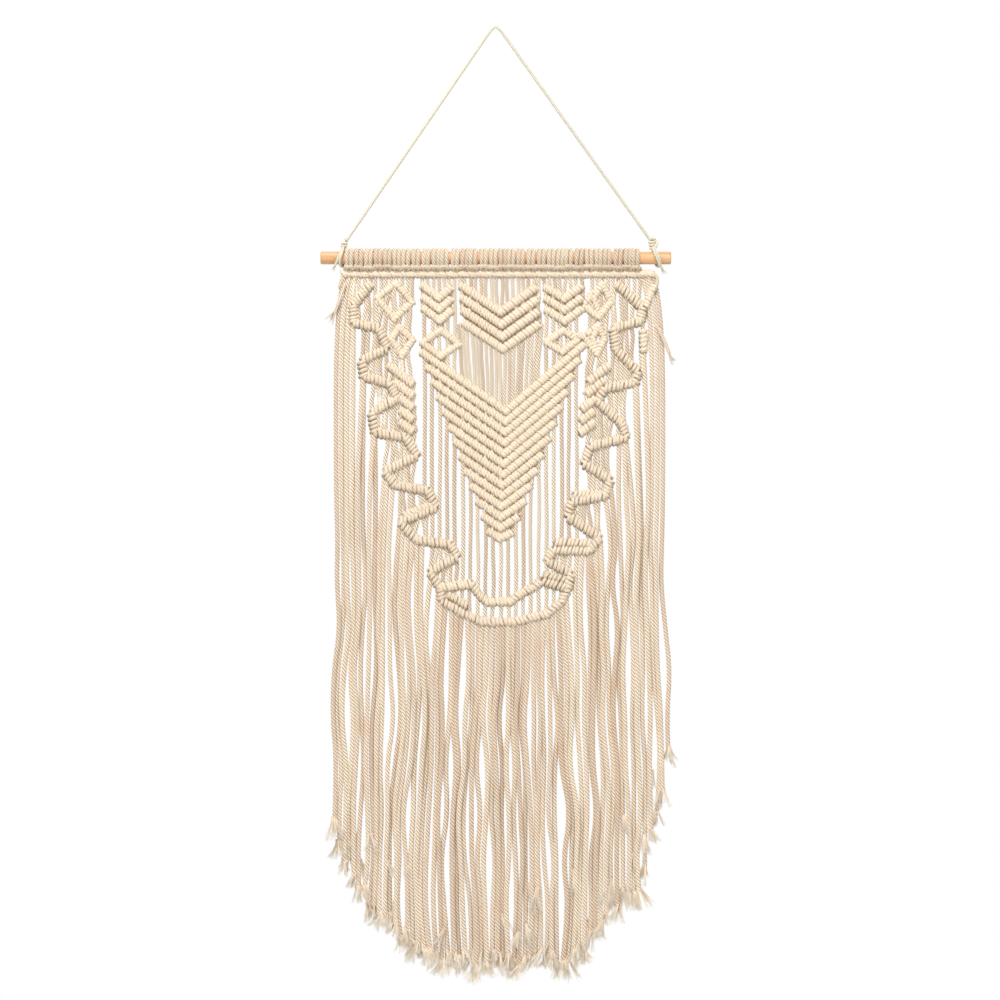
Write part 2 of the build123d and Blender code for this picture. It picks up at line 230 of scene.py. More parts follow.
panel_cotton = cotton(
    "knotted_cotton", (0.25, 0.165, 0.090), (0.77, 0.650, 0.505), (0.87, 0.765, 0.635), (0.96, 0.90, 0.83)
)
fringe_cotton = cotton(
    "fringe_cotton", (0.27, 0.18, 0.11), (0.76, 0.63, 0.50), (0.96, 0.87, 0.75), (0.97, 0.85, 0.76)
)
cell_cotton = cotton(
    "cell_cotton", (0.16, 0.10, 0.058), (0.70, 0.585, 0.45), (1.0, 0.93, 0.82), (0.97, 0.88, 0.80)
)
tuft_cotton = cotton(
    "tuft_cotton", (0.72, 0.54, 0.40), (0.97, 0.83, 0.68), (1.0, 0.94, 0.84), (0.99, 0.88, 0.78)
)
hanger_cotton = cotton(
    "hanger_cotton", (0.48, 0.44, 0.30), (0.74, 0.71, 0.55), (0.90, 0.88, 0.74), (0.95, 0.95, 0.88)
)


def growth_rings(nodes, links, place):
    """Rings round a heart just outside the rod, for its sawn ends."""
    centred = stretched(nodes, links, place, (0.0, 1.0, 1.0))
    centred.inputs["Location"].default_value = (0.0, 0.004, 0.239)
    rings = nodes.new("ShaderNodeTexWave")
    rings.wave_type = "RINGS"
    rings.rings_direction = "SPHERICAL"
    rings.inputs["Scale"].default_value = 220.0
    rings.inputs["Distortion"].default_value = 1.2
    links.new(centred.outputs["Vector"], rings.inputs["Vector"])
    return toned(nodes, links, rings.outputs["Color"], [(0.2, (0.50, 0.26, 0.13)), (0.7, (0.80, 0.54, 0.32))])


def facing_x(nodes, links):
    """1 on faces that look along X, which are the sawn ends, and 0 on the rod's side."""
    normal = nodes.new("ShaderNodeNewGeometry")
    split = nodes.new("ShaderNodeSeparateXYZ")
    links.new(normal.outputs["Normal"], split.inputs[0])
    size = nodes.new("ShaderNodeMath")
    size.operation = "ABSOLUTE"
    links.new(split.outputs["X"], size.inputs[0])
    share = nodes.new("ShaderNodeMapRange")
    share.inputs["From Min"].default_value = 0.5
    share.inputs["From Max"].default_value = 0.9
    links.new(size.outputs[0], share.inputs["Value"])
    return share.outputs["Result"]


def softwood():
    """Sanded light softwood: fine grain along X, and growth rings on the sawn ends."""
    mat, nodes, links, bsdf = new_material("dowel_wood")
    place = nodes.new("ShaderNodeTexCoord").outputs["Object"]
    along = stretched(nodes, links, place, (3.0, 60.0, 60.0)).outputs["Vector"]
    grain = noise(nodes, links, along, 5.0, 6.0)
    grain.inputs["Distortion"].default_value = 0.6
    grain_stops = [(0.25, (0.56, 0.28, 0.125)), (0.5, (0.74, 0.42, 0.21)), (0.8, (0.86, 0.56, 0.33))]
    colour = toned(nodes, links, grain.outputs["Fac"], grain_stops)
    pores = noise(nodes, links, along, 60.0, 2.0).outputs["Fac"]
    pore_tone = toned(nodes, links, pores, [(0.30, (0.72, 0.62, 0.52)), (0.45, WHITE)])
    colour = mixed(nodes, links, "MULTIPLY", 0.7, colour, pore_tone)
    colour = mixed(nodes, links, "MIX", facing_x(nodes, links), colour, growth_rings(nodes, links, place))
    links.new(colour, bsdf.inputs["Base Color"])
    set_roughness(nodes, links, bsdf, grain.outputs["Fac"], 0.48, 0.70)
    set_bump(nodes, links, bsdf, pores, 0.25, 0.0004)
    return mat


def floor_paint():
    mat, nodes, links, bsdf = new_material("floor_paint")
    patches = nodes.new("ShaderNodeTexNoise")
    patches.inputs["Scale"].default_value = 6.0
    stops = [(0.3, (0.93, 0.93, 0.93)), (0.7, (0.97, 0.97, 0.965))]
    links.new(toned(nodes, links, patches.outputs["Fac"], stops), bsdf.inputs["Base Color"])
    bsdf.inputs["Roughness"].default_value = 0.9
    return mat


# The floor lies below the fringe and is short, so that the view from the front doesn't show it.
bpy.ops.mesh.primitive_circle_add(vertices=96, radius=1.1, fill_type="NGON", location=(0, -0.72, -1.12))
floor = bpy.context.object
floor.name = "floor"
floor.data.materials.append(floor_paint())


# ---- rope geometry
PLIES = 4
PROFILE = np.array([1.0, 0.90, 0.66, 0.90] * PLIES)  # radius round a rope, from a ply's crest to the groove
SIDES = len(PROFILE)
CORD_LAY, WRAP_LAY, HANGER_LAY = 14.4, 11.5, 5.6  # one twist: hanging cords, wound cords, the hanger
FIBRE_LENGTH = 900.0  # each rope's streaks start at their own place in this length
CORE_PAINTED_LIGHTNESS = 0.6  # the painted lightness in the middle of a cut end
TAPER_REACH = 1.6  # a narrowed end narrows over this many radii


def spline_points(control):
    """Points along the NURBS spline that has these control points."""
    curve = bpy.data.curves.new("route", "CURVE")
    curve.dimensions = "3D"
    curve.resolution_u = 10
    spline = curve.splines.new("NURBS")
    spline.points.add(len(control) - 1)
    for point, place in zip(spline.points, control):
        point.co = (*place, 1)
    spline.order_u = 3
    spline.use_endpoint_u = True
    holder = bpy.data.objects.new("route", curve)
    mesh = bpy.data.meshes.new_from_object(holder)
    points = np.array([v.co[:] for v in mesh.vertices])
    bpy.data.objects.remove(holder)
    bpy.data.meshes.remove(mesh)
    bpy.data.curves.remove(curve)
    return points


def measured(points):
    """Distance along a line of points, at each of them."""
    steps = np.linalg.norm(np.diff(points, axis=0), axis=1)
    return np.concatenate(([0.0], np.cumsum(steps)))


def evened(points, step):
    """The same line with its points a step apart."""
    along = measured(points)
    places = np.linspace(0, along[-1], max(3, math.ceil(along[-1] / step) + 1))
    return np.stack([np.interp(places, along, points[:, i]) for i in range(3)], axis=1)


def rope(points, radius, lay, normals=FRONT, tone=None, taper=(1.0, 1.0), depth=1.0):
    """A twisted rope along a line of points: vertices, faces and what its material reads.

    taper is the share of the radius left at each end, and depth is how deep the plies' grooves are.
    """
    n = len(points)
    along = measured(points)
    tangent = np.gradient(points, axis=0)
    tangent /= np.linalg.norm(tangent, axis=1)[:, None]
    normal = np.broadcast_to(normals, points.shape)
    normal = normal - (normal * tangent).sum(1)[:, None] * tangent
    normal /= np.linalg.norm(normal, axis=1)[:, None]
    binormal = np.cross(tangent, normal)
    turn = rng.uniform(0, math.tau) - math.tau * along / lay
    theta = turn[:, None] + math.tau * np.arange(SIDES)[None, :] / SIDES
    profile = 1 - (1 - PROFILE) * depth
    thickness = np.full(n, 1.0)
    run = along[-1]
    for share, from_end in ((taper[0], along), (taper[1], run - along)):
        if share < 1:
            near = np.clip(from_end / (radius * TAPER_REACH), 0, 1)
            thickness = np.minimum(thickness, share + (1 - share) * np.sqrt(near))
    size = (radius * thickness)[:, None] * profile[None, :]
    verts = points[:, None, :] + size[:, :, None] * (
        np.cos(theta)[:, :, None] * normal[:, None, :] + np.sin(theta)[:, :, None] * binormal[:, None, :]
    )
    verts = np.concatenate([verts.reshape(-1, 3), points[:1], points[-1:]])
    i, j = np.meshgrid(np.arange(n - 1), np.arange(SIDES), indexing="ij")
    k = (j + 1) % SIDES
    corners = [i * SIDES + j, i * SIDES + k, (i + 1) * SIDES + k, (i + 1) * SIDES + j]
    quads = np.stack(corners, -1).reshape(-1, 4)
    ring = np.arange(SIDES)
    after = (ring + 1) % SIDES
    last = (n - 1) * SIDES
    first_cap = np.stack([np.full(SIDES, n * SIDES), after, ring], -1)
    last_cap = np.stack([np.full(SIDES, n * SIDES + 1), last + ring, last + after], -1)
    tris = np.concatenate([first_cap, last_cap])
    psi = math.tau * np.arange(SIDES) / SIDES
    shift = rng.uniform(0, FIBRE_LENGTH)
    fibre = np.empty((n, SIDES, 3))
    fibre[:, :, 0] = np.cos(psi)[None, :]
    fibre[:, :, 1] = np.sin(psi)[None, :]
    fibre[:, :, 2] = along[:, None] + shift
    fibre = np.concatenate([fibre.reshape(-1, 3), [[0, 0, shift], [0, 0, shift]]])
    # Painted lightness: 0 in the plies' grooves, where the material paints shade, and 1 on their crests.
    groove = np.tile((PROFILE - PROFILE.min()) / (1 - PROFILE.min()), n)
    groove = np.concatenate([groove, [CORE_PAINTED_LIGHTNESS, CORE_PAINTED_LIGHTNESS]])
    tone = rng.uniform(0, 1) if tone is None else tone
    return {"verts": verts, "quads": quads, "tris": tris, "fibre": fibre, "groove": groove, "tone": tone}


def piece(name, parts, material, body=None, replaces=()):
    """One mesh object from several parts, which may ride on a body and stand for CAD nodes."""
    verts, corners, starts, totals, fibre, groove, tone = [], [], [], [], [], [], []
    base, corner = 0, 0
    for part in parts:
        for faces, size in ((part["quads"], 4), (part["tris"], 3)):
            if len(faces):
                corners.append((faces + base).ravel())
                starts.append(corner + size * np.arange(len(faces)))
                totals.append(np.full(len(faces), size))
                corner += size * len(faces)
        verts.append(part["verts"])
        fibre.append(part["fibre"])
        groove.append(part["groove"])
        tone.append(np.full(len(part["verts"]), part["tone"]))
        base += len(part["verts"])
    mesh = bpy.data.meshes.new(name)
    coords = np.concatenate(verts) * MM
    corners, starts, totals = (np.concatenate(x).astype(np.int32) for x in (corners, starts, totals))
    mesh.vertices.add(len(coords))
    mesh.vertices.foreach_set("co", coords.astype(np.float32).ravel())
    mesh.loops.add(len(corners))
    mesh.loops.foreach_set("vertex_index", corners)
    mesh.polygons.add(len(starts))
    mesh.polygons.foreach_set("loop_start", starts)
    mesh.polygons.foreach_set("loop_total", totals)
    mesh.polygons.foreach_set("use_smooth", np.ones(len(starts), bool))
    mesh.update(calc_edges=True)
    layers = [
        ("fibre", "FLOAT_VECTOR", "vector", fibre), ("groove", "FLOAT", "value", groove),
        ("tone", "FLOAT", "value", tone),
    ]
    for layer, kind, field, values in layers:
        data = mesh.attributes.new(layer, kind, "POINT").data
        data.foreach_set(field, np.concatenate(values).astype(np.float32).ravel())
    mesh.materials.append(material)
    obj = bpy.data.objects.new(name, mesh)
    scene.collection.objects.link(obj)
    if body:
        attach(obj, body)
    if replaces:
        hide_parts(*replaces)
    return obj


def knotted(name, parts, replaces=()):
    """A piece of knotted cotton on the panel."""
    return piece(name, parts, panel_cotton, "panel", replaces)


WISPS = 8
HAIR_STEPS = 6
HAIR_SIDES = 3


def hair(line, across, thickness, tone):
    """One thin three-sided fibre along a line of points, narrowing towards its tip."""
    n = len(line)
    steps = np.linspace(0, 1, n)
    tangent = np.gradient(line, axis=0)
    tangent /= np.linalg.norm(tangent, axis=1)[:, None]
    u = np.cross(tangent, across)
    u /= np.linalg.norm(u, axis=1)[:, None]
    w = np.cross(tangent, u)
    radii = thickness * (1 - 0.75 * steps)
    ring = np.arange(HAIR_SIDES) * math.tau / HAIR_SIDES
    verts = line[:, None, :] + radii[:, None, None] * (
        np.cos(ring)[None, :, None] * u[:, None, :] + np.sin(ring)[None, :, None] * w[:, None, :]
    )
    i, j = np.meshgrid(np.arange(n - 1) * HAIR_SIDES, np.arange(HAIR_SIDES), indexing="ij")
    k = (j + 1) % HAIR_SIDES
    quads = np.stack([i + j, i + k, i + HAIR_SIDES + k, i + HAIR_SIDES + j], -1).reshape(-1, 4)
    last = HAIR_SIDES * n
    shift = rng.uniform(0, FIBRE_LENGTH)
    return {
        "verts": verts.reshape(-1, 3),
        "quads": quads,
        "tris": np.array([[2, 1, 0], [last - 3, last - 2, last - 1]]),
        "fibre": np.tile([1.0, 0.0, shift], (last, 1)),
        # Painted shade: each hair is darker at its root, where the tuft is thick.
        "groove": np.repeat(0.25 + 0.75 * np.sqrt(steps), HAIR_SIDES),
        "tone": tone + rng.uniform(-0.15, 0.15),
    }


def tuft(end, heading, count, length, spread, thickness, start, root, tone=0.6):
    """Loose hairs at a cut end, in wisps that each have their own side, length and curl.

    The hairs start a little way back from the end, within the root radius of its middle.
    """
    heading = np.array(heading, float)
    heading /= np.linalg.norm(heading)
    a = np.cross(heading, [0.3, 0.9, 0.2])
    a /= np.linalg.norm(a)
    b = np.cross(heading, a)
    parts = []
    steps = np.linspace(0, 1, HAIR_STEPS)
    wisps = [
        (rng.uniform(0, math.tau), math.sqrt(rng.uniform(0.02, 1)), rng.uniform(0.5, 1.0))
        for _ in range(WISPS)
    ]
    curls = rng.uniform(-1.3, 1.3, (WISPS, 2))
    for i in range(count):
        angle, out, share = wisps[i % WISPS]
        angle += rng.normal(0, 0.22)
        out = min(max(out + rng.normal(0, 0.11), 0.0), 1.1)
        side = math.cos(angle) * a + math.sin(angle) * b
        reach = length * share * rng.uniform(0.78, 1.0)
        wave = curls[i % WISPS] + rng.uniform(-0.35, 0.35, 2)
        line = (
            np.array(end)[None, :]
            - heading * start
            + side * root * out
            + heading[None, :] * (steps * (reach + start))[:, None]
            + side[None, :] * (spread * out * steps**1.7)[:, None]
            + a[None, :] * (wave[0] * np.sin(3.1 * steps) * steps)[:, None]
            + b[None, :] * (wave[1] * np.sin(4.2 * steps) * steps)[:, None]
        )
        parts.append(hair(line, b + 0.01, thickness, tone))
    return parts


# ---- the panel's lines, as in the CAD model
DOWEL_Z = -231.0
CORD_RADIUS = 2.25
GAP = 0.3
HEADER_Z = -247.0
HEADER_ENDS = (-152.5, 159.5)
HEADER_RADIUS = 4.0
CORD_COUNT = 62
FIRST_COLUMN = -159.5
COLUMN_PITCH = 5.36
EDGE_CORDS = 3
CHEVRON = [(-35.0, -258.5), (5.0, -285.5), (42.0, -259.5)]
CHEVRON_STEP = (0.8, -12.3)
SMALL_CHEVRON_LEFT = [(-73.5, -258.5), (-56.5, -271.5), (-43.5, -260.0)]
SMALL_CHEVRON_RIGHT = [(49.0, -260.0), (68.5, -272.0), (87.5, -258.5)]
SMALL_CHEVRON_STEP = (0.3, -11.2)
ARROW_LEFT, ARROW_LEFT_STEP = (-74.5, -325.0), (5.58, -14.9)
ARROW_POINT, ARROW_POINT_STEP = (10.5, -384.5), (-0.5, -10.6)
ARROW_RIGHT, ARROW_RIGHT_STEP = (90.5, -316.0), (-6.04, -15.75)
DIAMONDS = {
    "inner_diamond_left": [[(-55.0, -303.5), (-73.0, -316.0), (-55.0, -329.5), (-36.5, -317.0)]],
    "inner_diamond_right": [[(68.0, -303.5), (50.5, -315.5), (67.0, -325.0), (81.5, -313.5)]],
    "outer_diamonds_left": [
        [(-99.5, -256.5), (-118.5, -271.0), (-101.0, -292.0), (-83.5, -275.0)],
        [(-96.5, -300.5), (-104.0, -313.0), (-93.5, -329.0), (-83.0, -313.0)],
    ],
    "outer_diamonds_right": [
        [(106.5, -257.0), (98.5, -271.5), (104.0, -289.5), (115.5, -275.0)],
        [(103.0, -298.0), (97.0, -311.5), (101.5, -327.0), (109.0, -312.5)],
    ],
}
LEAVES = {
    "leaf_left": [
        [(-102.0, -342.0), (-82.0, -358.0)],
        [(-96.0, -358.6), (-82.0, -369.8)],
        [(-90.0, -375.2), (-82.0, -381.6)],
        [(-90.0, -387.0), (-82.0, -393.4)],
        [(-90.0, -399.0), (-82.0, -405.4)],
    ],
    "leaf_right": [
        [(108.0, -343.0), (92.0, -356.0)],
        [(103.0, -357.5), (90.0, -368.5)],
        [(94.0, -376.0), (86.0, -383.0)],
        [(93.0, -388.0), (84.5, -395.0)],
        [(93.0, -399.5), (83.0, -407.5)],
    ],
}
SIDE_COLUMN = [(148.0, -303.5), (148.0, -326.0)]
BAND_LEFT = [
    (-124.5, -257.0), (-142.3, -279.0), (-142.3, -296.0), (-116.5, -302.0),
    (-108.5, -322.0), (-133.5, -334.0), (-131.5, -350.0), (-105.5, -357.0),
    (-98.5, -372.0), (-123.5, -386.0), (-120.5, -406.0), (-89.5, -411.0),
    (-78.5, -429.0), (-110.5, -445.0), (-100.5, -458.5), (-67.5, -464.0),
    (-59.5, -481.0), (-95.5, -495.0), (-79.5, -513.0), (-44.5, -518.0),
    (-38.5, -530.0), (-65.5, -545.0), (-55.5, -561.0), (-23.5, -557.0),
]
BAND_RIGHT = [
    (121.5, -257.5), (147.0, -281.0), (145.5, -294.0), (117.5, -302.0),
    (120.5, -323.0), (142.5, -345.0), (139.5, -356.0), (108.5, -362.0),
    (102.5, -375.0), (126.5, -397.0), (130.5, -411.0), (94.5, -420.0),
    (88.5, -437.0), (114.5, -453.0), (109.5, -469.0), (75.5, -475.0),
    (72.5, -490.0), (104.5, -511.0), (93.5, -524.0), (57.5, -523.0),
    (51.5, -534.0), (75.5, -547.0), (72.5, -561.0), (46.5, -554.0),
]
BAND_TURN = 4
BAND_BOTTOM = [
    [(-17.0, -567.0), (-8.0, -575.0), (14.5, -575.0), (26.5, -566.0), (38.0, -560.5)],
    [(-54.0, -574.0), (-31.5, -587.0), (-13.5, -595.0), (19.5, -595.0), (51.5, -587.0), (66.0, -575.0)],
]

# Fringe routes, as in the CAD model
SWAY_HEIGHTS = (-465.0, -512.0, -556.0, -600.0, -645.0, -692.0, -738.0, -786.0, -833.0, -881.0, -935.0)
SWAY_COLUMNS = (0, 12, 24, 37, 49, 61)
SWAY = (
    (0.0, 0.4, 0.3, -0.5, -1.9, -2.2, -0.4, 1.8, 2.1, 0.6, -0.9),
    (0.0, -0.3, -0.5, 0.2, 1.9, 2.6, 1.3, -0.9, -2.5, -2.6, -1.0),
    (0.0, 0.3, 0.5, 0.4, 1.6, 1.9, 0.2, -2.0, -2.3, -0.3, 2.1),
    (0.0, -0.4, -0.2, 0.4, -1.2, -2.5, -1.6, 0.9, 2.7, 2.2, -0.2),
    (0.0, 0.3, -0.2, -0.5, -1.9, -1.4, 0.8, 2.6, 1.8, -0.7, -2.4),
    (0.0, -0.4, -0.5, 0.4, 1.7, 3.0, 3.1, 1.2, -0.9, -1.9, -0.6),
)
FAN_START, FAN_END, FAN_SPREAD = -600.0, -935.0, 0.035
HEM = [
    (-165.0, -768.0), (-150.0, -835.0), (-125.0, -868.0), (-95.0, -903.0), (-65.0, -930.0), (5.0, -935.0),
    (70.0, -932.0), (100.0, -903.0), (115.0, -876.0), (144.0, -858.0), (152.0, -800.0), (170.0, -722.0),
]
HEM_STEP = 4.0
LEAST_RUN = 24.0
SECTIONS = {
    "outer_left": (0, 9, -465.0),
    "inner_left": (10, 20, -590.0),
    "centre": (21, 41, -608.0),
    "inner_right": (42, 51, -590.0),
    "outer_right": (52, 61, -465.0),
}
EDGE_START, EDGE_SHOULDER = -254.0, -275.0
EDGE_LEAN = (9.0, -10.5)
TIE_REACH = 9.0  # a fringe cord starts on a hitched row that is this close

# Hitched runs made so far, as (start, stop, radius, kind). The other cords find their places on them.
hitched = []


def stepped(line, step, index):
    """The line moved by a number of steps."""
    return [(x + step[0] * index, z + step[1] * index) for x, z in line]


def blend_along(value, places, results):
    """The result at a value between places, or the nearest place's result outside them."""
    for i in range(len(places) - 1):
        low, high = places[i], places[i + 1]
        if min(low, high) <= value <= max(low, high):
            share = (value - low) / (high - low)
            return results[i] + share * (results[i + 1] - results[i])
    nearest = 0 if abs(value - places[0]) < abs(value - places[-1]) else -1
    return results[nearest]


def column_x(cord):
    return FIRST_COLUMN + COLUMN_PITCH * cord


def foot(x, start, stop, clear):
    """How low a cord has to start to clear a run above it, or None if the run doesn't reach its column."""
    feet = [pz - math.sqrt(clear**2 - (x - px) ** 2) for px, pz in (start, stop) if abs(x - px) < clear]
    length = math.dist(start, stop)
    ux, uz = (stop[0] - start[0]) / length, (stop[1] - start[1]) / length
    if abs(ux) > 1e-6:
        beside = start[1] + (x - start[0]) * uz / ux - clear / abs(ux)
        along = (x - start[0]) * ux + (beside - start[1]) * uz
        if 0 <= along <= length:
            feet.append(beside)
    return min(feet, default=None)


def lowest_row(x):
    """The height below which a column is free of hitched rows."""
    header_foot = HEADER_Z - HEADER_RADIUS - GAP
    feet = (foot(x, a, b, radius + CORD_RADIUS + GAP) for a, b, radius, _ in hitched)
    return min([header_foot, *(z for z in feet if z is not None)])


def tied_point(x, z):
    """The nearest place on any hitched row, or this same place if no row is close."""
    near = [(TIE_REACH, (x, z))]
    for a, b, _, _ in hitched:
        run = (b[0] - a[0], b[1] - a[1])
        share = ((x - a[0]) * run[0] + (z - a[1]) * run[1]) / (run[0] ** 2 + run[1] ** 2)
        share = min(max(share, 0.0), 1.0)
        place = (a[0] + share * run[0], a[1] + share * run[1])
        near.append((math.dist((x, z), place), place))
    return min(near)[1]


def route_x(cord, z):
    """Where a fringe cord hangs at a height: its column, fanned out low down, and swaying."""
    sways = [blend_along(z, SWAY_HEIGHTS, row) for row in SWAY]
    fan = min(max((FAN_START - z) / (FAN_START - FAN_END), 0.0), 1.0)
    return column_x(cord) * (1 + FAN_SPREAD * fan) + blend_along(cord, SWAY_COLUMNS, sways)


def fringe_end(cord):
    hem = blend_along(column_x(cord), [p[0] for p in HEM], [p[1] for p in HEM])
    return hem + HEM_STEP * math.sin(2.4 * cord)


def fringe_route(cord, top, bottom):
    heights = [z for z in SWAY_HEIGHTS if bottom + LEAST_RUN < z < top - LEAST_RUN]
    return [(route_x(cord, z), z) for z in [top, *heights, bottom]]


# ---- hitched rows
EDGE_SHADE = 0.86  # how dark the lower edge of a row is painted, where it shades the cords under it
# Painted shade on the upper edge of a row.
UPPER_EDGE_SHADE = 0.25
STEPS_PER_TURN = 13


def wraps(start, stop, radius, cord=2.0, pitch=3.5, slant=0.0, depth=None, rough=1.0, merged=True, edge=2.6):
    """Half hitches round one run: a rope wound round it, as flat loops that lean along the run.

    rough is how uneven the loops are, and merged thickens the loops of falling runs until they touch. The
    higher edge is, the narrower is the painted shade on the lower edge.
    """
    a, b = np.array([start[0], 0.0, start[1]]), np.array([stop[0], 0.0, stop[1]])
    length = np.linalg.norm(b - a)
    along_way = (b - a) / length
    across = np.cross(FRONT, along_way)
    if across[2] < 0:
        across = -across
    rise = along_way[2] * np.sign(along_way[0] if abs(along_way[0]) > 1e-6 else 1.0)
    falling = rise < -0.12
    if depth is None:
        depth = 0.5 if falling else 0.1
    # How much of the painted shade between the plies shows on the loops.
    stripes = 0.62 if falling else 0.25
    cord = cord * (1.22 if falling and merged else 1.0)
    turns = max(1, round(length / pitch))
    alpha = np.linspace(0, math.tau * turns, turns * STEPS_PER_TURN + 1)
    slow = rng.uniform(0, math.tau, 3)
    wobble = 1 + 0.035 * np.sin(alpha * 0.37 + slow[0]) + 0.025 * np.sin(alpha * 0.83 + slow[1])
    uneven = rng.normal(0, 0.022 * rough, turns + 2)
    wobble = wobble + np.interp(alpha / math.tau, np.arange(turns + 2), uneven)
    reach = (radius - cord * 0.96) * wobble
    place = length * alpha / (math.tau * turns) + slant * np.cos(alpha)
    place += 0.3 * np.sin(alpha / math.tau * 2.1 + slow[2])
    normal = np.cos(alpha)[:, None] * across + np.sin(alpha)[:, None] * FRONT
    line = a + place[:, None] * along_way + reach[:, None] * normal
    tone = rng.uniform(0.45, 0.8)
    part = rope(line, cord, WRAP_LAY, normals=normal, tone=tone, taper=(0.5, 0.5), depth=depth)
    # Painted shade: the lower edge of the wound loops is painted darker, and the upper edge a little darker,
    # on top of the painted shade between the plies.
    low, high = np.clip(-np.cos(alpha), 0, 1), np.clip(np.cos(alpha), 0, 1)
    shade = 1 - EDGE_SHADE * low**edge - UPPER_EDGE_SHADE * high**3
    part["groove"][:-2] = (1 - stripes + stripes * part["groove"][:-2]) * np.repeat(shade, SIDES)
    return part


JOINT_OVERLAP = 1.8
DIAMOND_RADIUS = 4.1
DIAMOND_HITCHES = {"cord": 1.9, "pitch": 3.3}


def past(a, b, extra):
    """The point a little past b, coming from a."""
    length = math.dist(a, b)
    return tuple(q + (q - p) * extra / length for p, q in zip(a, b))


def hitched_rows(name, lines, radius, closed=False, **how):
    """Rows of hitches that replace the CAD node of the same name. Runs overlap a little where they meet."""
    parts = []
    for line in lines:
        points = line + line[:1] if closed else line
        last = len(points) - 2
        for i, (a, b) in enumerate(zip(points, points[1:])):
            start = past(b, a, JOINT_OVERLAP) if i > 0 or closed else a
            stop = past(a, b, JOINT_OVERLAP) if i < last or closed else b
            parts.append(wraps(start, stop, radius, **how))
            hitched.append((a, b, radius, "row"))
    return knotted(f"{name}_hitches", parts, [name])


CHEVRON_ROWS, SMALL_CHEVRON_ROWS, ARROW_ROWS = 4, 3, 13
for i in range(CHEVRON_ROWS):
    hitched_rows(f"centre_chevron_{i + 1}", [stepped(CHEVRON, CHEVRON_STEP, i)], 5.1)
for side, first in (("left", SMALL_CHEVRON_LEFT), ("right", SMALL_CHEVRON_RIGHT)):
    rows = [stepped(first, SMALL_CHEVRON_STEP, i) for i in range(SMALL_CHEVRON_ROWS)]
    hitched_rows(f"small_chevrons_{side}", rows, 4.75, cord=1.95, pitch=3.4)
for name, diamonds in DIAMONDS.items():
    hitched_rows(name, diamonds, DIAMOND_RADIUS, closed=True, **DIAMOND_HITCHES)
# Short rows that complete the outer diamonds on the right
RIGHT_LINKS = [
    [(98.5, -265.0), (88.5, -278.0)], [(88.5, -279.0), (103.0, -290.5)], [(104.0, -297.5), (90.5, -308.5)],
    [(79.0, -308.0), (91.0, -310.5)], [(90.5, -312.0), (99.5, -326.0)],
]
links = [wraps(a, b, DIAMOND_RADIUS, **DIAMOND_HITCHES) for a, b in RIGHT_LINKS]
knotted("right_link_hitches", links)
hitched.extend((a, b, DIAMOND_RADIUS, "row") for a, b in RIGHT_LINKS)
LEAF_REACH, LEAF_LIFT = 5.0, 3.9  # the leaves' outer ends stand out further than their CAD bars do
for name, rows in LEAVES.items():
    reach = -LEAF_REACH if name == "leaf_left" else LEAF_REACH
    longer = [[(x + reach, z + LEAF_LIFT), end] for (x, z), end in rows]
    hitched_rows(name, longer, 5.3, cord=2.1, pitch=3.6)
hitched_rows("side_column", [SIDE_COLUMN], 5.2, cord=2.3, pitch=4.2)
for i in range(ARROW_ROWS):
    left = stepped([ARROW_LEFT], ARROW_LEFT_STEP, i)
    point = stepped([ARROW_POINT], ARROW_POINT_STEP, i)
    right = stepped([ARROW_RIGHT], ARROW_RIGHT_STEP, i)
    hitched_rows(f"arrow_row_{i + 1:02d}", [left + point + right], 4.6, cord=1.9, pitch=3.3)
# The band's looser rows take a wider painted shade on their lower edges.
LOOSE = {"cord": 2.0, "pitch": 3.9, "slant": -0.5, "depth": 0.8, "rough": 3.6, "merged": False, "edge": 1.5}
BAND_RADIUS, BAND_CORE_RADIUS = 5.7, 3.6
for side, line in (("left", BAND_LEFT), ("right", BAND_RIGHT)):
    runs = list(zip(line, line[1:]))
    for turn in range(math.ceil(len(runs) / BAND_TURN)):
        span = runs[turn * BAND_TURN : (turn + 1) * BAND_TURN]
        parts = [wraps(a, past(a, b, 1.2), BAND_RADIUS, **LOOSE) for a, b in span]
        node = f"band_{side}_{turn + 1}"
        knotted(f"{node}_hitches", parts, [node])
    hitched.extend((a, b, BAND_CORE_RADIUS, "band") for a, b in runs)
# Short rows that join the band's sides to its bottom, and second rows beside some of its runs
BOTTOM_JOINS = [
    [(-23.5, -557.0), (-17.0, -567.0)], [(38.0, -560.5), (46.5, -554.0)], [(-55.5, -562.0), (-54.0, -574.0)],
    [(66.0, -575.0), (72.5, -561.0)],
]
SECOND_ROWS = [
    [(-47.0, -567.5), (-27.0, -579.5)], [(94.0, -516.5), (58.0, -515.5)], [(72.5, -553.5), (48.0, -547.5)],
    [(104.5, -467.5), (77.0, -468.0)], [(-90.0, -488.5), (-62.0, -477.5)],
]
hitched_rows("band_bottom", BAND_BOTTOM + BOTTOM_JOINS + SECOND_ROWS, 5.2, **LOOSE)
header_start, header_stop = ((x, HEADER_Z) for x in HEADER_ENDS)
header = wraps(header_start, header_stop, 4.8, cord=2.1, pitch=3.7, slant=-1.9, depth=0.6)
knotted("header_hitches_cord", [header], ["header_hitches"])

# ---- lark's heads
LARK_COUNT, LARK_START, LARK_PITCH = 31, -150.8, 9.56
LARK_RADIUS = 8.2  # of the cord's middle line round the rod
LARK_ARC = range(-45, 226, 30)  # degrees, over the rod from its back to its front
BIGHT_RADIUS = 1.9
LARK_STEP = 1.1


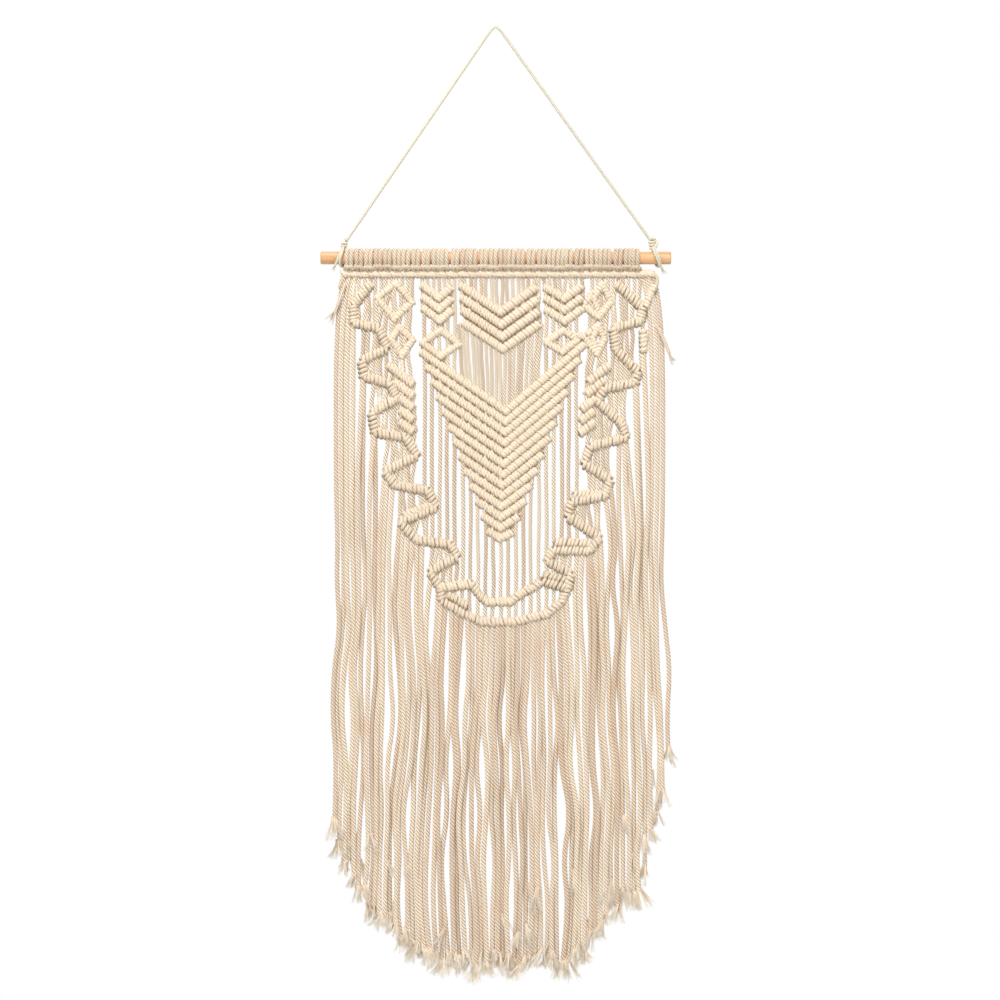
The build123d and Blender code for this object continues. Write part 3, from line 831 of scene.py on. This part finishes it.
def lark_leg(x, lean, tone):
    """One of a knot's two turns: up behind the rod, over it and down in front."""
    control = [(x, 0.8, -244.5), (x, 5.0, -241.0)]
    for beta in LARK_ARC:
        swing = math.radians(beta)
        shift = lean * math.cos(swing - math.pi / 2)
        control.append((x + shift, LARK_RADIUS * math.cos(swing), DOWEL_Z + LARK_RADIUS * math.sin(swing)))
    control += [(x, -4.4, -240.5), (x, -1.4, -244.0)]
    line = evened(spline_points(control), LARK_STEP)
    return rope(line, CORD_RADIUS, CORD_LAY, normals=SIDE, tone=tone, depth=1.1)


def lark_bight(middle, drop, tone):
    """The knot's bar, which crosses its two legs in front, just under the rod."""
    control = [
        (middle - 4.7, -0.5, -241.6 + drop), (middle - 4.6, -5.2, -241.0 + drop),
        (middle, -7.8, -240.2 + drop),
        (middle + 4.6, -5.2, -241.0 + drop), (middle + 4.7, -0.5, -241.6 + drop),
    ]
    return rope(evened(spline_points(control), LARK_STEP), BIGHT_RADIUS, WRAP_LAY, normals=UP, tone=tone)


lark_parts = []
for i in range(LARK_COUNT):
    middle = LARK_START + LARK_PITCH * (i + 0.5) + rng.uniform(-1.1, 1.1)
    tone = rng.uniform(0.2, 0.9)
    lean = rng.uniform(-0.9, 0.5)
    for side in (-1, 1):
        lark_parts.append(lark_leg(middle + side * rng.uniform(1.95, 2.35), lean, tone))
    lark_parts.append(lark_bight(middle, rng.uniform(-0.5, 0.5), tone))
knotted("larks_heads_cord", lark_parts, ["larks_heads"])

# ---- the header's holding cord
holding = [
    (-156.0, -1.0, -262.0), (-154.5, -2.5, -254.0), (-153.0, 0.0, -248.0), (-140.0, 0.0, -247.0),
    (0.0, 0.0, -247.0), (140.0, 0.0, -247.0), (156.0, 0.0, -246.0),
    (161.5, -1.5, -249.0), (162.0, -3.0, -257.0), (158.5, -3.0, -264.0),
]
holding_rope = rope(evened(spline_points(holding), 1.2), 1.9, WRAP_LAY, taper=(0.4, 0.4))
knotted("header_holding_cord_rope", [holding_rope], ["header_holding_cord"])

# ---- cords between the rows
PANEL_LEFT, PANEL_RIGHT = -76, 90  # the columns from the left leaf to the right one
ARROW_TOP = -330  # a gap that starts above this height isn't under the arrow
HEADER_FOOT = -247.5
OPEN_COLUMNS = [-71 + 7.6 * i for i in range(21)]
CELL_COLUMNS = [-141 + 4.6 * i for i in range(61)]
BACKING_COLUMNS = [-100 + 3.9 * i for i in range(54)]
BARE_COLUMNS, BARE_REACH = (-77.5, 91.5), 3  # no cord hangs from the header close to these
LEAST_GAP = 9
CLOSEST, TOUCHING = 5, 17.0  # rows this far apart have cords drawn behind them
HEADER_NARROWING = 0.985  # the columns stand closer together under the header
# The opening between the chevrons and the arrow, whose cords lean towards its middle
OPENING_LEFT, OPENING_RIGHT, OPENING_TOP, OPENING_FOOT = -34, 44, -280, -340
OPENING_MIDDLE, OPENING_LEAN, OPENING_GAP, OPENING_CORD_TOP = 5, 0.10, 14, -285
OPENING_COLUMNS = [-33 + 4.7 * i for i in range(17)]
OPENING_SIDES, OPENING_SIDE_TOP = (-37.6, 46.4), -297.0
POINT_COLUMNS, POINT_TOP, POINT_FOOT = (2.5, 6.5, 10.5), -384.0, -512.0  # behind the arrow's point
CORD_SWELL = 1.04
CORD_STEP = 1.5


def crossings(x):
    """Heights at which the hitched rows cross a column, from the top down."""
    found = []
    for a, b, radius, kind in hitched:
        low, high = min(a[0], b[0]), max(a[0], b[0])
        if low - 1.0 <= x <= high + 1.0 and high - low > 3:
            share = min(max((x - a[0]) / (b[0] - a[0]), 0), 1)
            found.append((a[1] + share * (b[1] - a[1]), kind))
    return sorted(found, reverse=True)


def hanging_cord(x, top, bottom, radius, tone=None, depth=None, reach=0.8, lean=0.0):
    """A short cord between two rows. It sways by up to its reach, and ends to one side by its lean."""
    sway = rng.uniform(-reach, reach, 2)
    depth = rng.uniform(-0.6, 0.6) if depth is None else depth
    n = max(4, math.ceil((top - bottom) / CORD_STEP))
    share = np.linspace(0, 1, n)
    line = np.stack(
        [
            x + sway[0] * np.sin(share * math.pi) + sway[1] * np.sin(share * math.tau) * 0.6 + lean * share,
            depth * np.sin(share * math.pi),
            top + (bottom - top) * share,
        ],
        axis=1,
    )
    return rope(line, radius * CORD_SWELL, CORD_LAY, tone=tone, depth=1.3)


groups = {"cords_left": [], "cords_centre": [], "cords_right": [], "cords_under_arrow": []}


def group_of(x, top):
    """The CAD panel of cords that a short cord belongs to."""
    if x < PANEL_LEFT:
        return "cords_left"
    if x > PANEL_RIGHT:
        return "cords_right"
    return "cords_centre" if top > ARROW_TOP else "cords_under_arrow"


def gaps(x):
    """A column's stretches between hitched rows, with whether both rows are the band."""
    rows = crossings(x)
    pairs = zip(rows, rows[1:])
    return [(upper, lower, above == below == "band") for (upper, above), (lower, below) in pairs]


for cord in range(EDGE_CORDS, CORD_COUNT - EDGE_CORDS):
    x = column_x(cord) * HEADER_NARROWING
    if any(abs(x - bare) < BARE_REACH for bare in BARE_COLUMNS):
        continue
    rows = crossings(x)
    if rows:
        groups[group_of(x, HEADER_Z)].append(hanging_cord(x, HEADER_FOOT, rows[0][0], 2.1))
for x in OPEN_COLUMNS:
    for upper, lower, in_band in gaps(x):
        opening = OPENING_LEFT < x < OPENING_RIGHT and OPENING_FOOT < upper < OPENING_TOP
        if upper - lower > LEAST_GAP and not in_band and not opening:
            groups[group_of(x, upper)].append(hanging_cord(x, upper, lower, rng.uniform(2.0, 2.3)))
for x in CELL_COLUMNS:
    for upper, lower, in_band in gaps(x):
        if upper - lower > LEAST_GAP and (in_band or x < PANEL_LEFT or x > PANEL_RIGHT):
            radius, lean = rng.uniform(2.1, 2.5), rng.uniform(-2.4, 2.4)
            groups[group_of(x, upper)].append(hanging_cord(x, upper, lower, radius, reach=1.7, lean=lean))
for x in OPENING_COLUMNS:
    for upper, lower, _ in gaps(x):
        if upper - lower > OPENING_GAP and ARROW_TOP < upper < OPENING_CORD_TOP:
            radius, lean = rng.uniform(1.9, 2.15), OPENING_LEAN * (OPENING_MIDDLE - x)
            groups["cords_centre"].append(hanging_cord(x, upper, lower - 2.0, radius, lean=lean))
for x in OPENING_SIDES:
    lower = [z for z, _ in crossings(x) if z < ARROW_TOP][0]
    lean = OPENING_LEAN * (OPENING_MIDDLE - x)
    groups["cords_centre"].append(hanging_cord(x, OPENING_SIDE_TOP, lower, 2.1, lean=lean))
groups["cords_right"] += [hanging_cord(147.5, -284.0, -305.0, 2.2), hanging_cord(146.0, -324.0, -346.0, 2.2)]
for x in BACKING_COLUMNS:
    rows = [z for z, kind in crossings(x) if kind == "row"]
    for upper, lower in zip(rows, rows[1:]):
        if CLOSEST < upper - lower < TOUCHING:
            # The backing cords take a fixed darker tone, a painted shade for cords that lie behind the rows.
            backing = hanging_cord(x, upper, lower, 2.15, tone=0.3, depth=1.5, reach=0.2)
            groups[group_of(x, upper)].append(backing)
for x in POINT_COLUMNS:
    groups["cords_under_arrow"].append(hanging_cord(x, POINT_TOP, POINT_FOOT, 2.2, depth=1.6))
for name, parts in groups.items():
    piece(f"{name}_ropes", parts, cell_cotton, "panel", [name])

# Hitches below the header's right end, and the two cords that hang loose from the knotting
knotted("header_right_end_hitches", [wraps((158.5, -259.0), (149.5, -281.0), 4.4, cord=1.95)])
TAILS = {
    "left": [(-150.0, -3.0, -256.0), (-153.5, -4.5, -268.0), (-158.0, -4.5, -279.0), (-161.0, -4.0, -287.0)],
    "right": [(160.0, -2.5, -297.0), (165.0, -4.5, -306.0), (170.0, -4.5, -318.0), (174.0, -4.0, -328.0)],
}
TAIL_HEADINGS = {"left": (-0.55, 0, -1), "right": (0.5, 0, -1)}
TAIL_LAY = CORD_LAY * 0.85
for side, control in TAILS.items():
    line = evened(spline_points(control), 1.1)
    parts = [rope(line, 1.9, TAIL_LAY, tone=0.7, taper=(0.6, 0.5))]
    parts += tuft(line[-1], TAIL_HEADINGS[side], 70, 12.0, 4.6, thickness=0.24, start=3.0, root=1.4, tone=0.8)
    piece(f"loose_tail_{side}", parts, fringe_cotton, "panel")

# ---- fringe
FRAYED_SHARE = 0.5
CLUMP_SIZES = (3, 7)
CLUMP_PULL = (0.08, 0.24)
CLUMP_DRIFT, CORD_DRIFT = 2.3, 1.9
SHIFT_LIMIT = 8.5
END_CHANGE = (-9.0, 8.0)
STRAND_RADIUS = (2.5, 2.9)
END_HAIRS = {"count": 110, "thickness": 0.36, "start": 7.0, "root": 2.3, "tone": 0.75}
FRAY_HAIRS = {"count": 80, "thickness": 0.34, "start": 7.0, "root": 1.9}


def is_edge(cord):
    """The first and last cords hang beside the band, straight from the header."""
    return cord < EDGE_CORDS or cord >= CORD_COUNT - EDGE_CORDS


def clump_shifts():
    """Sideways shifts that gather cords in clumps, drawn anew at each height."""
    shifts = {}
    for height in SWAY_HEIGHTS:
        edges = [0]
        while edges[-1] < CORD_COUNT:
            edges.append(edges[-1] + int(rng.integers(*CLUMP_SIZES)))
        gather = 0.8 if height > -560 else 1.0 if height > -740 else 1.2
        for low, high in zip(edges, edges[1:]):
            pull, drift = rng.uniform(*CLUMP_PULL), rng.uniform(-CLUMP_DRIFT, CLUMP_DRIFT)
            for cord in range(low, high):
                inward = ((low + high - 1) / 2 - cord) * COLUMN_PITCH * pull
                shift = gather * (inward + drift + rng.uniform(-CORD_DRIFT, CORD_DRIFT))
                shifts[height, cord] = min(max(shift, -SHIFT_LIMIT), SHIFT_LIMIT)
    return shifts


def strand_route(cord, swing_z):
    """A fringe cord's route in the panel's plane, as in the CAD model."""
    end_z = fringe_end(cord)
    if is_edge(cord):
        lean = EDGE_LEAN[0] if cord < EDGE_CORDS else EDGE_LEAN[1]
        shoulder = [(column_x(cord) + lean, EDGE_START + 6.0), (column_x(cord), EDGE_SHOULDER)]
        return shoulder + fringe_route(cord, swing_z + 2.0, end_z)
    return fringe_route(cord, lowest_row(column_x(cord)) + 3.0, end_z)


def strand_line(cord, route, shifts):
    """The cord's middle line: its route shifted with its clump and in depth, and started on a row."""
    depth = rng.uniform(-2.6, 2.6, len(route)) + (1.5 if cord % 2 else -1.5)
    depth[0] = 0.0
    control = [(x + shifts.get((z, cord), 0.0), y, z) for (x, z), y in zip(route, depth)]
    end_x, end_y, end_z = control[-1]
    control[-1] = (end_x, end_y, end_z + rng.uniform(*END_CHANGE))
    if not is_edge(cord):
        tied_x, tied_z = tied_point(control[0][0], control[0][2])
        control[0] = (tied_x, 0.0, tied_z)
    return evened(spline_points(control), 1.25)


shifts = clump_shifts()
homes = {
    cord: (section, swing_z)
    for section, (first, last, swing_z) in SECTIONS.items()
    for cord in range(first, last + 1)
}
routes = {cord: strand_route(cord, swing_z) for cord, (_, swing_z) in homes.items()}
tufts = {section: [] for section in SECTIONS}
for cord, (section, swing_z) in homes.items():
    fine = strand_line(cord, routes[cord], shifts)
    radius = rng.uniform(*STRAND_RADIUS)
    tone = rng.uniform(0, 1)
    strand = piece(
        f"strand_{cord + 1:02d}", [rope(fine, radius, CORD_LAY, tone=tone, taper=(1.0, 0.45))], fringe_cotton,
        None, [f"fringe_top_{section}", f"fringe_{section}"],
    )
    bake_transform(strand)
    heading = fine[-1] - fine[-6] + rng.uniform(-2.0, 2.0, 3)
    length, spread = rng.uniform(12, 20), rng.uniform(5.5, 11.0)
    tufts[section] += tuft(fine[-1], heading, length=length, spread=spread, **END_HAIRS)
    if rng.uniform() < FRAYED_SHARE:
        back = int(rng.integers(10, 64))
        place = fine[-back] + np.array([rng.uniform(-3, 3), rng.choice([-3.4, 3.2]), 0.0])
        lean = np.array([rng.uniform(-0.35, 0.35), 0.0, -1.0])
        length, spread = rng.uniform(14, 24), rng.uniform(4.0, 8.0)
        tufts[section] += tuft(place, lean, length=length, spread=spread, **FRAY_HAIRS)
for section, parts in tufts.items():
    piece(f"fringe_{section}_ends", parts, tuft_cotton, f"fringe_{section}")

# ---- hanger
HANGER_RADIUS = 1.5
HANGER_KNOTS = ((-151.0, -216.6, 3.3), (157.5, -217.0, 4.2))  # place and radius in the CAD model
HOOK_HALF = 2.6
NEAR_HOOK = 18.0
ends = []
for (knot_x, knot_z, knot_radius), hook_x in zip(HANGER_KNOTS, (-HOOK_HALF, HOOK_HALF)):
    pull = Vector((hook_x - knot_x, -knot_z)).normalized()
    end = Vector((knot_x, knot_z)) + pull * (knot_radius + GAP / 3)
    ends.append(((end.x, 0, end.y), (hook_x - pull.x * NEAR_HOOK, 0, -pull.y * NEAR_HOOK)))
hook = [(-HOOK_HALF, 0, 0), (HOOK_HALF, 0, 0)]
route = [ends[0][0], ends[0][1], *hook, ends[1][1], ends[1][0]]
fine = evened(spline_points(route), 1.0)
hanger_parts = [rope(fine, HANGER_RADIUS, HANGER_LAY, tone=0.5)]
hanger = piece("hanger_rope", hanger_parts, hanger_cotton, "hanger", ["hanger_cord"])


def transported(line):
    """A normal for each point of a line, carried along it without twisting."""
    tangent = np.gradient(line, axis=0)
    tangent /= np.linalg.norm(tangent, axis=1)[:, None]
    normal = np.cross(tangent[0], [0.31, 0.2, 0.93])
    result = []
    for t in tangent:
        normal = normal - normal.dot(t) * t
        normal /= np.linalg.norm(normal)
        result.append(normal)
    return np.array(result)


def thin_rope(control, radius=1.45, taper=(1.0, 1.0)):
    """A stretch of the hanger cord in a knot, where it turns too sharply for a fixed normal."""
    line = evened(spline_points(control), 0.9)
    return rope(line, radius, HANGER_LAY, normals=transported(line), tone=0.5, taper=taper)


def coil(x, z, wide, tall, turns, lean):
    """A short coil round the cord, which is what the knot's body shows."""
    alpha = np.linspace(0, math.tau * turns, int(10 * turns))
    share = alpha / alpha[-1]
    return [
        (
            x + wide * math.cos(t) + lean * (s - 0.5),
            wide * 0.9 * math.sin(t),
            z + tall * (0.5 - s) + 0.9 * math.cos(t),
        )
        for t, s in zip(alpha, share)
    ]


left = [
    thin_rope([(-150.0, 0, -211.5), *coil(-151.2, -217.5, 2.3, 6.5, 2.3, -1.0), (-152.0, -3.0, -224.0)]),
    thin_rope(
        [
            (-152.6, -2.0, -221.0), (-153.4, -6.0, -224.0), (-155.2, -9.0, -228.5), (-156.8, -9.2, -232.0),
            (-158.5, -8.4, -236.5), (-160.6, -5.5, -240.5),
        ],
        taper=(1.0, 0.5),
    ),
    thin_rope(
        [
            (-152.2, -1.0, -220.0), (-152.4, -5.5, -223.0), (-153.2, -8.8, -227.5), (-154.4, -9.0, -231.0),
            (-155.6, -8.0, -235.5), (-154.6, -3.0, -239.6), (-153.0, 3.0, -239.4), (-152.4, 7.6, -234.5),
            (-152.3, 8.2, -229.0), (-152.2, 4.0, -221.8), (-152.0, 0.5, -219.0),
        ]
    ),
]
left += tuft((-160.8, -5.2, -241.0), (-0.35, 0.1, -1), 26, 4.5, 1.6, thickness=0.13, start=1.5, root=0.9)
piece("hanger_knot_left_rope", left, hanger_cotton, "hanger", ["hanger_knot_left"])
right = [
    thin_rope([(155.5, 0, -211.5), *coil(157.4, -217.0, 3.0, 7.5, 2.6, 1.2), (158.5, -4.0, -223.5)], 1.6),
    thin_rope(
        [(159.8, 1.0, -213.5), (161.4, -1.5, -216.0), (160.8, -3.5, -219.5), (158.0, -3.8, -222.5)],
        1.5,
    ),
    thin_rope(
        [
            (157.0, -3.0, -220.5), (157.6, -7.0, -224.5), (159.6, -9.2, -229.0), (161.6, -9.0, -233.5),
            (164.0, -7.4, -238.5), (166.5, -5.0, -243.0),
        ],
        taper=(1.0, 0.5),
    ),
    thin_rope(
        [
            (159.5, -2.0, -221.0), (160.0, -6.0, -224.0), (162.0, -8.8, -229.0), (164.0, -8.6, -233.0),
            (165.0, -5.5, -238.5), (162.5, 1.5, -240.0), (160.0, 7.0, -236.0), (158.5, 8.2, -230.0),
            (157.8, 4.5, -222.5), (157.5, 0.5, -219.5),
        ]
    ),
]
right += tuft((166.8, -4.8, -243.5), (0.5, 0.1, -1), 40, 6.5, 3.0, thickness=0.14, start=1.5, root=1.0)
piece("hanger_knot_right_rope", right, hanger_cotton, "hanger", ["hanger_knot_right"])

# ---- dowel
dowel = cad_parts["dowel"]
dowel.data.materials.clear()
dowel.data.materials.append(softwood())
